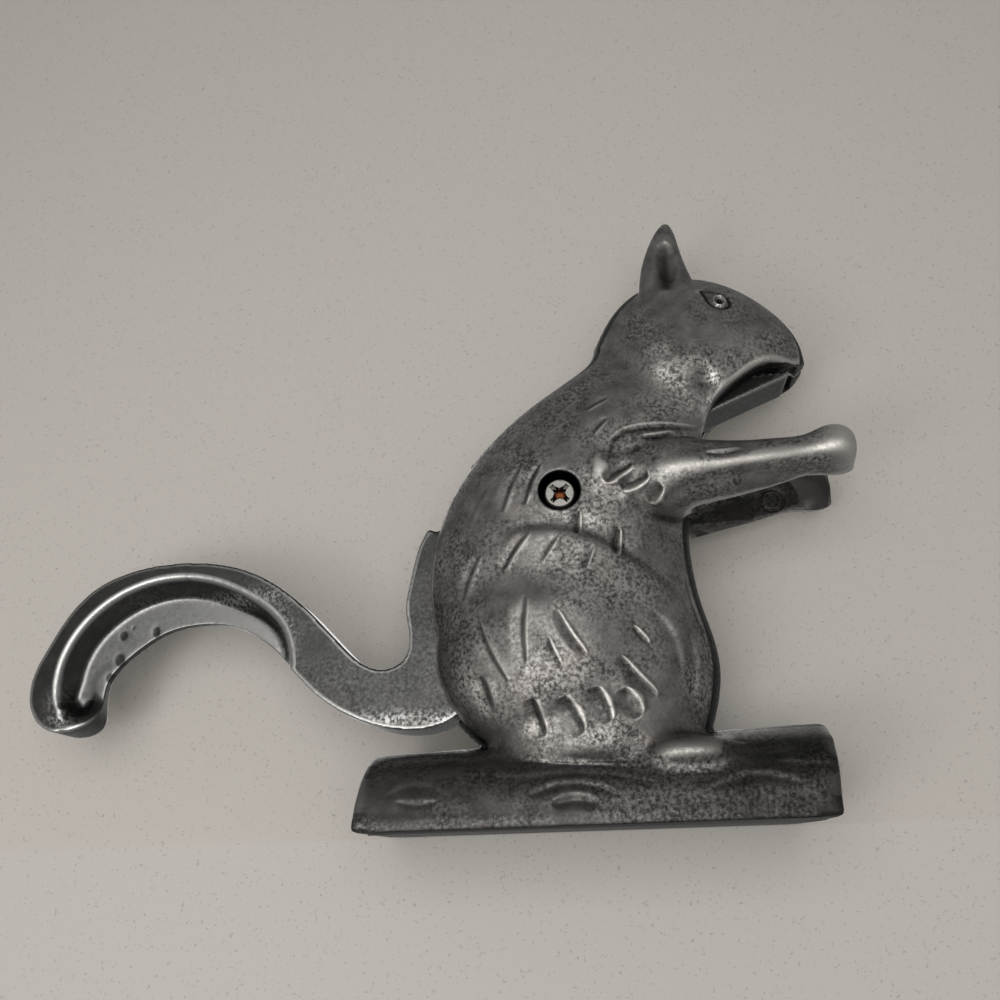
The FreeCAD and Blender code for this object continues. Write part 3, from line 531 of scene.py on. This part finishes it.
def finishHalf(piece, side):
    skin = readSkin(piece)
    outward = side * skin["points"][:, 1]
    x, z = skin["points"][:, 0], skin["points"][:, 2]
    aroundBore = np.hypot(x - castHalf["pivot"][0], z - castHalf["pivot"][1]) < castHalf["headBore"] + 2.5
    kept = np.where(aroundBore, 0.25, np.where(z > castHalf["earFoot"], 0.15, 1.0))
    addWear(piece, skin, kept=np.where(z < castHalf["skirt"] + 2, 0.3, kept))
    sideView = skin["points"][:, [0, 2]]
    shows = smoothStep(side * skin["normals"][:, 1], 0.0, 0.3)
    # painted shade and painted highlight on the eye
    eyeShade, eyeHighlight = eyeShadeAndHighlight(sideView)
    # a painted highlight along the bead where the haunch meets the log
    signed, gone = alongLine(sideView, beadLine)
    beadHighlight = 0.9 * np.exp(-(signed / 0.7) ** 2)
    # rubbed patches and painted highlights, with the painted highlights of the iris and the bead
    polishAndHighlight = np.maximum.reduce([spotShare(skin, polishAndHighlightSpots), eyeHighlight, beadHighlight])
    addLayer(piece, "polishAndHighlight", polishAndHighlight * shows)
    # painted shade: the pivot's counterbore goes dark, and on the left half so do the three screws' counterbores
    shadeAndGrime = 1 - smoothStep(np.hypot(x - castHalf["pivot"][0], z - castHalf["pivot"][1]),
                           castHalf["headBore"] - 0.15, castHalf["headBore"] + 0.25)
    if side > 0:
        for place in castHalf["screwPlaces"]:
            shadeAndGrime = np.maximum(shadeAndGrime, 1 - smoothStep(np.hypot(x - place[0], z - place[1]), 4.2, 4.6))
    # painted shade on every face within 9 mm of the seam, on the faces inside the mouth and between the arms, and in
    # the hollow of the ear
    shadeInside = 1 - smoothStep(outward, 8.8, 9.4)
    shadeInside = np.where((x > 41) & (z < 125) & (z > 80) & (side * skin["normals"][:, 1] < -0.5), 0.8, shadeInside)
    shadeInside = np.where((x > 44) & (z > 126) & (z < 147) & (skin["normals"][:, 2] < -0.6) & (outward < 13), 0.9, shadeInside)
    shadeInside = np.where(outward > 0.8, shadeInside, 0.0)
    signed, gone = alongLine(sideView, [(35.0, 173.0), (36.4, 189.5)])
    earShade = np.exp(-(signed / (3.4 - 2.0 * gone)) ** 2) * shows * smoothStep(z, 170.5, 171.5) * (1 - 0.15 * gone)
    # painted shade over the log, stronger towards its front end, and halved on the foot
    logShade = (0.60 + 0.2 * smoothStep(x, 5, 45)) * (1 - smoothStep(z - 0.03 * x, 19.0, 23.0))
    foot = np.exp(-((x - 29) / 9) ** 4 - ((z - 18.5) / 5.5) ** 4) * smoothStep(outward, 20, 22)
    logShade = np.maximum(logShade, 0.2 * (z < castHalf["logTop"])) * (1 - 0.5 * foot)
    addLayer(piece, "shadeAndGrime", np.clip(np.maximum.reduce([shadeAndGrime, shadeInside, 0.9 * earShade, logShade, eyeShade * shows]), 0, 1))
    piece.data.shade_smooth()
    print("finished", piece.name, "with", len(piece.data.polygons), "faces,",
          int(np.sum(side * skin["normals"][:, 1] < -0.12)), "of", len(x), "points hidden")


# the lever
leverShape = {
    "voxel": 0.5,
    "half": 8.0,
    "webHalf": 1.5,
    "plateEnd": -44.0,                  # the jaw in front of this lies inside the halves
    "tailRound": 6.8,                   # the outer edge of the tail and the root's upper edge
    "lowRound": 1.0,                    # the prong and the lower edges stay nearly sharp
    "jawRound": 0.5,
    "wallRun": 6.0,                     # how far the pocket's sloping wall reaches in side view
    "wallEnd": 3.0,
    "mostTriangles": 180000,
    "curlHigh": (-160.0, 34.5),
    "curlLow": (-150.5, 50.0),
    "curlPull": ((-150.0, 48.0), (7.0, 11.0), 3.4),
}

# centre, half length and half height of the marks on the pocket's floor
floorMarks = [((-150.3, 65.1), 1.5, 1.7), ((-150.8, 57.1), 1.8, 2.2), ((-153.6, 51.4), 1.4, 1.6),
              ((-139.3, 65.8), 1.4, 1.9), ((-159.3, 42.3), 2.2, 2.4), ((-147.3, 67.6), 0.5, 0.5)]

# bright patches on the lever: rubbed metal and painted highlights
leverPolishAndHighlight = [((-165, 38), 5, 3, 0.9), ((-168, 43), 3, 4, 0.6), ((-60, 33), 14, 2.2, 0.6),
               ((-42, 32), 6, 2.0, 0.9), ((-115, 74), 20, 2.5, 0.8), ((-96, 58), 4, 9, 0.9)]


def edgeTree(points):
    tree = KDTree(len(points))
    for index, (x, z) in enumerate(points):
        tree.insert((x, 0.0, z), index)
    tree.balance()
    return tree


def leverEdges():
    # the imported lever's own edges: round its outline, and round the two pockets
    form = bmesh.new()
    form.from_mesh(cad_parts["tail_lever"].data)
    bmesh.ops.remove_doubles(form, verts=form.verts, dist=0.002 * millimetre)
    outline, pocket = [], []
    for edge in form.edges:
        if len(edge.link_faces) != 2:
            continue
        flat = [face for face in edge.link_faces if abs(face.normal.y) > 0.95]
        wall = [face for face in edge.link_faces if abs(face.normal.y) < 0.3]
        if len(flat) != 1 or len(wall) != 1:
            continue
        heights = [vert.co.y for vert in wall[0].verts]
        middle = (edge.verts[0].co + edge.verts[1].co) / 2 / millimetre
        if abs(abs(middle.y) - leverShape["half"]) > 0.1:
            continue
        places = pocket if min(heights) * max(heights) > 0 else outline
        first, last = edge.verts[0].co / millimetre, edge.verts[1].co / millimetre
        for step in np.linspace(0, 1, max(2, int((last - first).length / 0.5))):
            spot = first.lerp(last, step)
            places.append((spot.x, spot.z))
    form.free()
    return outline, pocket


def nearestPlaces(tree, points):
    found = [tree.find((x, 0.0, z)) for x, z in points]
    return np.array([hit[2] for hit in found]), np.array([(hit[0].x, hit[0].z) for hit in found])


def leverBlank():
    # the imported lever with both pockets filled, because their walls are shaped again
    piece = mergedCopy("tailLever", "tail_lever")
    form = bmesh.new()
    form.from_mesh(piece.data)
    for vert in form.verts:
        if abs(abs(vert.co.y) / millimetre - leverShape["webHalf"]) < 0.05:
            vert.co.y = math.copysign(leverShape["half"] * millimetre, vert.co.y)
    bmesh.ops.remove_doubles(form, verts=form.verts, dist=0.01 * millimetre)
    form.to_mesh(piece.data)
    form.free()
    return piece


def overPocket(skin):
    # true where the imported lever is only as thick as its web
    form = bmesh.new()
    form.from_mesh(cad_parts["tail_lever"].data)
    tree = BVHTree.FromBMesh(form)
    form.free()
    inward = skin["points"][:, [0, 2]] - 0.7 * skin["normals"][:, [0, 2]]
    found = np.zeros(len(inward), dtype=bool)
    for index, (x, z) in enumerate(inward):
        hit = tree.ray_cast(Vector((x, -20, z)) * millimetre, Vector((0, 1, 0)))[0]
        found[index] = hit is not None and abs(hit.y) / millimetre < leverShape["half"] - 1
    return found


def edgeRadius(sideView, away, toOutline, toPocket):
    # the tail is rounded over its whole rim, the root on its upper edge, and the rest hardly
    x = sideView[:, 0]
    upper = np.maximum(smoothStep(-away[:, 1], -0.2, 0.5), smoothStep(-x, 146, 152))
    full = leverShape["lowRound"] + (leverShape["tailRound"] - leverShape["lowRound"]) * smoothStep(-x, 52, 78)
    radius = leverShape["lowRound"] + (full - leverShape["lowRound"]) * upper
    rim = np.where(toPocket < 14.0, toOutline + toPocket, 14.0)
    radius = np.minimum(radius, np.maximum(0.95 * rim, leverShape["lowRound"]))
    return np.where(x < leverShape["plateEnd"], radius, leverShape["jawRound"])


def roundLeverEdge(skin, sideView, toOutline, outlineSpot, toPocket):
    height = np.abs(skin["points"][:, 1])
    away = sideView - outlineSpot
    away /= np.maximum(np.linalg.norm(away, axis=1), 1e-6)[:, None]
    radius = edgeRadius(sideView, away, toOutline, toPocket)
    inward = radius - toOutline
    upward = height - (leverShape["half"] - radius)
    reach = np.hypot(inward, upward)
    over = (inward > 0) & (upward > 0) & (reach > radius)
    shrink = radius / np.maximum(reach, 1e-6)
    shift = np.where(over, inward * (1 - shrink), 0.0)
    skin["points"][:, 0] += shift * away[:, 0]
    skin["points"][:, 2] += shift * away[:, 1]
    lowered = np.sign(skin["points"][:, 1]) * (leverShape["half"] - radius + upward * shrink)
    skin["points"][:, 1] = np.where(over, lowered, skin["points"][:, 1])


def pocketHeight(sideView, toPocket):
    # the wall slopes from the rim to the floor, steeply at the pocket's two ends
    x, z = sideView.T
    run = leverShape["wallEnd"] + (leverShape["wallRun"] - leverShape["wallEnd"]) * smoothStep(-x, 92, 118)
    inCurl = smoothStep(-x, 150, 158) * (1 - smoothStep(z, 42, 52))
    run += (leverShape["wallEnd"] - run) * inCurl
    share = np.clip(1 - toPocket / run, 0.0, 1.0)
    return leverShape["webHalf"] + (leverShape["half"] - leverShape["webHalf"]) * share ** 1.25


def carveLever():
    outline, pocket = leverEdges()
    piece = leverBlank()
    remesh(piece, leverShape["voxel"])
    skin = readSkin(piece)
    sideView = skin["points"][:, [0, 2]].copy()
    inPocket = overPocket(skin) & (sideView[:, 0] < leverShape["plateEnd"])
    toOutline, outlineSpot = nearestPlaces(edgeTree(outline), sideView)
    toPocket, pocketSpot = nearestPlaces(edgeTree(pocket), sideView)
    top = np.where(inPocket, pocketHeight(sideView, toPocket), leverShape["half"])
    # the rim sinks to the floor's own edge where the curl opens
    high, low = np.array(leverShape["curlHigh"]), np.array(leverShape["curlLow"])
    gone = (sideView - high) @ (low - high) / np.sum((low - high) ** 2)
    beside = np.abs((sideView - high) @ np.array([high[1] - low[1], low[0] - high[0]])) / np.linalg.norm(low - high)
    sunk = leverShape["half"] + (leverShape["webHalf"] + 0.2 - leverShape["half"]) * smoothStep(gone, -0.1, 0.75)
    sunk += (leverShape["half"] - sunk) * smoothStep(beside, 5.0, 8.0)
    top = np.where((gone > -0.1) & (gone < 1.9), np.minimum(top, sunk), top)
    roundLeverEdge(skin, sideView, toOutline, outlineSpot, toPocket)
    skin["points"][:, 1] *= top / leverShape["half"]
    center, spread, shift = leverShape["curlPull"]
    apart = (sideView - np.array(center)) / np.array(spread)
    skin["points"][:, 0] -= shift * np.exp(-np.sum(apart ** 2, axis=1))
    writeSkin(piece, skin)
    onPlate = skin["points"][:, 0] < leverShape["plateEnd"]
    relax(skin, np.where(onPlate, 1.0, 0.0), 6)
    relax(skin, np.where((beside < 8.0) & (gone > -0.2) & (gone < 1.7), 1.0, 0.0), 14)
    writeSkin(piece, skin)
    marked = np.abs(skin["points"][:, 1]) < leverShape["webHalf"] + 1.0
    for center, halfLength, halfHeight in floorMarks:
        mound(skin, marked * 1.0, center, halfLength, halfHeight, 0, -0.18)
    writeSkin(piece, skin)
    thin(piece, leverShape["mostTriangles"], np.zeros(len(skin["points"]), dtype=bool))
    finishLever(piece)
    return piece


def finishLever(piece):
    skin = readSkin(piece)
    x, z = skin["points"][:, 0], skin["points"][:, 2]
    height = np.abs(skin["points"][:, 1])
    flat = smoothStep(np.abs(skin["normals"][:, 1]), 0.2, 0.6)
    # painted sheen: the pocket's floor is lifted through the wear and polish layers
    pocketFloorSheen = smoothStep(-height, -leverShape["webHalf"] - 1.2, -leverShape["webHalf"] - 0.1) * (x < -80) * flat
    # wear brightening is kept off the faces that look up, as part of their painted shade
    kept = 1 - smoothStep(skin["normals"][:, 2], 0.1, 0.4)
    addWear(piece, skin, 12, 0.16, kept, np.where(pocketFloorSheen > 0, -1 + 1.62 * pocketFloorSheen, -1.0))
    addLayer(piece, "polishAndHighlight", np.maximum(spotShare(skin, leverPolishAndHighlight) * flat, 0.15 * pocketFloorSheen))
    shadeAndGrime = np.zeros(len(x))
    # the marks on the pocket's floor are painted darker
    for (markX, markZ), halfLength, halfHeight in floorMarks:
        apart = np.hypot((x - markX) / halfLength, (z - markZ) / halfHeight)
        shadeAndGrime = np.maximum(shadeAndGrime, 0.8 * (1 - smoothStep(apart, 0.8, 1.1)) * (height < leverShape["webHalf"] + 1.0))
    prong = 0.15 * smoothStep(z, 50, 60) * smoothStep(x, -60, -54)
    # painted shade on the plate's faces that look up
    upward = 0.75 * smoothStep(skin["normals"][:, 2], 0.15, 0.6) * (height > 2) * (x < leverShape["plateEnd"])
    shadeAndGrime = np.maximum(shadeAndGrime, upward)
    # painted shade on the jaw inside the body, darker on its sides
    jawSide = (x > 20) & (np.abs(skin["normals"][:, 1]) > 0.8)
    shadeAndGrime = np.maximum(shadeAndGrime, np.where(jawSide, 0.55, np.where(x > 10, 0.4, prong)))
    addLayer(piece, "shadeAndGrime", shadeAndGrime)
    piece.data.shade_smooth()
    print("finished", piece.name, "with", len(piece.data.polygons), "faces")


# materials
castFinish = {
    "bodyMetal": {"dark": (0.068, 0.066, 0.063), "light": (0.320, 0.312, 0.300), "wornAndHighlight": (0.58, 0.56, 0.53),
                  "tint": (0.190, 0.165, 0.158), "speckle": 1.5, "rough": (0.40, 0.56), "bump": 0.30},
    "leverMetal": {"dark": (0.038, 0.038, 0.037), "light": (0.080, 0.080, 0.079), "wornAndHighlight": (0.60, 0.60, 0.585),
                   "tint": (0.057, 0.054, 0.051), "speckle": 0.9, "rough": (0.28, 0.42), "bump": 0.12},
    "steelMetal": {"dark": (0.18, 0.17, 0.16), "light": (0.42, 0.41, 0.40), "wornAndHighlight": (0.60, 0.58, 0.56),
                   "tint": (0.25, 0.23, 0.21), "speckle": 0.4, "rough": (0.25, 0.42), "bump": 0.08},
}

headFinish = {
    "crown": 4.15,                      # the bright worn part of the head
    "armHalf": 2.3,                     # half the width of the dark cross of painted shade and dirt, at its middle
    "armTaper": 0.62,
    "rustRadius": 1.6,
    # the colour of the painted shade and dirt on the head
    "shadeAndGrime": (0.006, 0.005, 0.005),
    "bright": (0.34, 0.33, 0.31),
    "rust": (0.22, 0.072, 0.026),
}


def addNode(tree, kind, **values):
    node = tree.nodes.new(kind)
    for key, value in values.items():
        setattr(node, key, value)
    return node


def noiseAt(tree, place, scale, detail, rough=0.6):
    noise = addNode(tree, "ShaderNodeTexNoise")
    noise.inputs["Scale"].default_value = scale
    noise.inputs["Detail"].default_value = detail
    noise.inputs["Roughness"].default_value = rough
    tree.links.new(place.outputs["Object"], noise.inputs["Vector"])
    return noise.outputs["Fac"]


def stretch(tree, value, low, high, toLow=0.0, toHigh=1.0):
    ramp = addNode(tree, "ShaderNodeMapRange")
    ramp.inputs["From Min"].default_value = low
    ramp.inputs["From Max"].default_value = high
    ramp.inputs["To Min"].default_value = toLow
    ramp.inputs["To Max"].default_value = toHigh
    tree.links.new(value, ramp.inputs["Value"])
    return ramp.outputs["Result"]


def calculate(tree, operation, first, second, clamp=False):
    node = addNode(tree, "ShaderNodeMath", operation=operation, use_clamp=clamp)
    for socket, value in zip(node.inputs, (first, second)):
        if isinstance(value, (int, float)):
            socket.default_value = value
        else:
            tree.links.new(value, socket)
    return node.outputs[0]


def mixColors(tree, share, first, second):
    mix = addNode(tree, "ShaderNodeMix", data_type="RGBA")
    tree.links.new(share, mix.inputs[0])
    for socket, value in ((mix.inputs[6], first), (mix.inputs[7], second)):
        if isinstance(value, tuple):
            socket.default_value = (*value, 1.0)
        else:
            tree.links.new(value, socket)
    return mix.outputs[2]


def layerAt(tree, name):
    return addNode(tree, "ShaderNodeAttribute", attribute_name=name).outputs["Fac"]


def castMetal(name):
    look = castFinish[name]
    material = bpy.data.materials.new(name)
    material.use_nodes = True
    tree = material.node_tree
    shader = tree.nodes["Principled BSDF"]
    place = addNode(tree, "ShaderNodeTexCoord")
    patches = stretch(tree, noiseAt(tree, place, 48.0, 2.0), 0.38, 0.62)
    blotches = stretch(tree, noiseAt(tree, place, 170.0, 3.0), 0.34, 0.68)
    specks = stretch(tree, noiseAt(tree, place, 900.0, 3.0, 0.65), 0.36, 0.64)
    busy = calculate(tree, "MULTIPLY_ADD", patches, 0.75 * look["speckle"])
    tree.nodes[-1].inputs[2].default_value = 0.12
    tone = calculate(tree, "MULTIPLY", calculate(tree, "SUBTRACT", specks, 0.5), busy)
    tone = calculate(tree, "ADD", tone, calculate(tree, "MULTIPLY", blotches, 0.45))
    tone = calculate(tree, "ADD", tone, 0.28, clamp=True)
    color = mixColors(tree, tone, look["dark"], look["light"])
    tinted = stretch(tree, noiseAt(tree, place, 90.0, 1.0), 0.55, 0.72, 0.0, 0.45)
    color = mixColors(tree, tinted, color, look["tint"])
    # wear and the polish-and-highlight layer lighten towards the bright colour, which is rubbed metal and painted
    # highlight
    wear = layerAt(tree, "wear")
    polishAndHighlight = calculate(tree, "MULTIPLY", layerAt(tree, "polishAndHighlight"), stretch(tree, specks, 0.25, 0.85))
    high = calculate(tree, "MULTIPLY", stretch(tree, wear, 0.30, 1.0), 0.75)
    high = calculate(tree, "MAXIMUM", high, calculate(tree, "MULTIPLY", polishAndHighlight, 0.85))
    color = mixColors(tree, high, color, look["wornAndHighlight"])
    # low places go dark, and the shade-and-grime layer, mostly painted shade, goes nearly black
    low = stretch(tree, wear, -0.20, -1.0, 0.0, 0.8)
    low = calculate(tree, "MAXIMUM", low, layerAt(tree, "shadeAndGrime"))
    color = mixColors(tree, low, color, tuple(0.16 * part for part in look["dark"]))
    tree.links.new(color, shader.inputs["Base Color"])
    shader.inputs["Metallic"].default_value = 1.0
    rough = stretch(tree, specks, 0.0, 1.0, look["rough"][1], look["rough"][0])
    tree.links.new(rough, shader.inputs["Roughness"])
    bump = addNode(tree, "ShaderNodeBump")
    bump.inputs["Strength"].default_value = look["bump"]
    bump.inputs["Distance"].default_value = 0.06 * millimetre
    tree.links.new(specks, bump.inputs["Height"])
    tree.links.new(bump.outputs["Normal"], shader.inputs["Normal"])
    return material


def headMetal():
    # the pivot screw's head: a bright crown cut by a dark cross of painted shade and dirt in the recess, with rust at
    # its middle, and painted shade on the head outside the crown
    material = castMetal("steelMetal")
    material.name = "headMetal"
    tree = material.node_tree
    shader = tree.nodes["Principled BSDF"]
    place = addNode(tree, "ShaderNodeTexCoord")
    parts = addNode(tree, "ShaderNodeSeparateXYZ")
    tree.links.new(place.outputs["Object"], parts.inputs[0])
    x = calculate(tree, "SUBTRACT", parts.outputs[0], castHalf["pivot"][0] * millimetre)
    z = calculate(tree, "SUBTRACT", parts.outputs[2], castHalf["pivot"][1] * millimetre)
    squared = calculate(tree, "ADD", calculate(tree, "MULTIPLY", x, x), calculate(tree, "MULTIPLY", z, z))
    radius = calculate(tree, "SQRT", squared, 0.0)
    turned = math.sqrt(0.5)
    first = calculate(tree, "ABSOLUTE", calculate(tree, "MULTIPLY", calculate(tree, "ADD", x, z), turned), 0.0)
    second = calculate(tree, "ABSOLUTE", calculate(tree, "MULTIPLY", calculate(tree, "SUBTRACT", x, z), turned), 0.0)
    arm = calculate(tree, "ADD", calculate(tree, "MINIMUM", first, second),
                    calculate(tree, "MULTIPLY", radius, headFinish["armTaper"]))
    offCross = stretch(tree, arm, (headFinish["armHalf"] - 0.15) * millimetre, (headFinish["armHalf"] + 0.15) * millimetre)
    rusty = stretch(tree, radius, headFinish["rustRadius"] * millimetre, 0.5 * headFinish["rustRadius"] * millimetre)
    # painted shade on the head outside its flat crown
    outside = stretch(tree, radius, (headFinish["crown"] - 0.1) * millimetre, (headFinish["crown"] + 0.3) * millimetre)
    color = mixColors(tree, rusty, mixColors(tree, offCross, headFinish["shadeAndGrime"], headFinish["bright"]),
                      headFinish["rust"])
    color = mixColors(tree, outside, color, headFinish["shadeAndGrime"])
    tree.links.new(color, shader.inputs["Base Color"])
    return material


def paint(piece, material):
    piece.data.materials.clear()
    piece.data.materials.append(material)


# stage, lamps and camera
def oneSided(name, color):
    # shows only from its front, so it never hides the figure from behind
    material = bpy.data.materials.new(name)
    material.use_nodes = True
    tree = material.node_tree
    shader = tree.nodes["Principled BSDF"]
    place = addNode(tree, "ShaderNodeTexCoord")
    specks = stretch(tree, noiseAt(tree, place, stageSet["speckScale"], 2.0), 0.64, 0.70)
    speckled = mixColors(tree, specks, color, tuple(stageSet["speckShare"] * part for part in color))
    tree.links.new(speckled, shader.inputs["Base Color"])
    shader.inputs["Roughness"].default_value = 0.85
    clear = addNode(tree, "ShaderNodeBsdfTransparent")
    facing = addNode(tree, "ShaderNodeNewGeometry")
    mix = addNode(tree, "ShaderNodeMixShader")
    tree.links.new(facing.outputs["Backfacing"], mix.inputs[0])
    tree.links.new(shader.outputs["BSDF"], mix.inputs[1])
    tree.links.new(clear.outputs["BSDF"], mix.inputs[2])
    tree.links.new(mix.outputs["Shader"], tree.nodes["Material Output"].inputs["Surface"])
    return material


def stageSheet(name, turn, place, color):
    form = bmesh.new()
    bmesh.ops.create_grid(form, x_segments=1, y_segments=1, size=stageSet["boardReach"] * millimetre)
    bmesh.ops.transform(form, matrix=Matrix.Translation(place) @ turn, verts=form.verts)
    mesh = bpy.data.meshes.new(name)
    form.to_mesh(mesh)
    form.free()
    sheet = newPiece(name, mesh)
    sheet.visible_shadow = False
    sheet.visible_glossy = False
    paint(sheet, oneSided(name + "Paint", color))
    return sheet


def buildStage():
    upright = Matrix.Rotation(math.radians(90), 4, "X")
    stageSheet("backBoard", upright, Vector((0, stageSet["boardY"] * millimetre, 0)), stageSet["boardColor"])
    stageSheet("floorSheet", Matrix.Identity(4), Vector((0, 0, -0.2 * millimetre)), stageSet["floorColor"])


def buildWorld():
    world = bpy.data.worlds.new("studio")
    bpy.context.scene.world = world
    world.use_nodes = True
    background = world.node_tree.nodes["Background"]
    background.inputs["Color"].default_value = (*stageSet["worldColor"], 1.0)
    background.inputs["Strength"].default_value = stageSet["worldStrength"]


def buildLamps():
    aim = Vector((-0.02, 0.0, 0.09))
    for name, lamp in lamps.items():
        light = bpy.data.lights.new(name, "AREA")
        light.size = lamp["size"] * millimetre
        light.energy = lamp["watts"]
        light.color = lamp["color"]
        holder = bpy.data.objects.new(name, light)
        holder.location = Vector(lamp["place"]) * millimetre
        holder.rotation_euler = (aim - holder.location).to_track_quat("-Z", "Y").to_euler()
        bpy.context.scene.collection.objects.link(holder)


def buildCamera():
    right = Vector(photoCamera["right"]).normalized()
    up = Vector(photoCamera["up"]).normalized()
    back = right.cross(up).normalized()
    up = back.cross(right)
    data = bpy.data.cameras.new("photoCamera")
    data.sensor_width = 36.0
    data.lens = photoCamera["lens"]
    data.clip_start = 0.01
    data.clip_end = 20.0
    camera = bpy.data.objects.new("photoCamera", data)
    camera.matrix_world = Matrix.Translation(Vector(photoCamera["place"]) * millimetre) @ Matrix(
        (right, up, back)).transposed().to_4x4()
    bpy.context.scene.collection.objects.link(camera)
    bpy.context.scene.camera = camera


buildCamera()
buildStage()
buildWorld()
buildLamps()
print("camera, stage and lamps stand")

bodyMetal = castMetal("bodyMetal")
leverMetal = castMetal("leverMetal")
steelMetal = castMetal("steelMetal")

rightHalf = carveHalf("rightHalf", "right_body_half", -1)
paint(rightHalf, bodyMetal)
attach(rightHalf, "figure")
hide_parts("right_body_half")

leftHalf = carveHalf("leftHalf", "left_body_half", 1)
paint(leftHalf, bodyMetal)
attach(leftHalf, "figure")
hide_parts("left_body_half")

tailLever = carveLever()
paint(tailLever, leverMetal)
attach(tailLever, "lever")
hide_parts("tail_lever")

paint(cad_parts["pivot_screw"], headMetal())
for nodeName in ("lock_washer", "pivot_nut", "case_screws", "locating_pins"):
    paint(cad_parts[nodeName], steelMetal)

bpy.context.scene.view_settings.view_transform = "Standard"
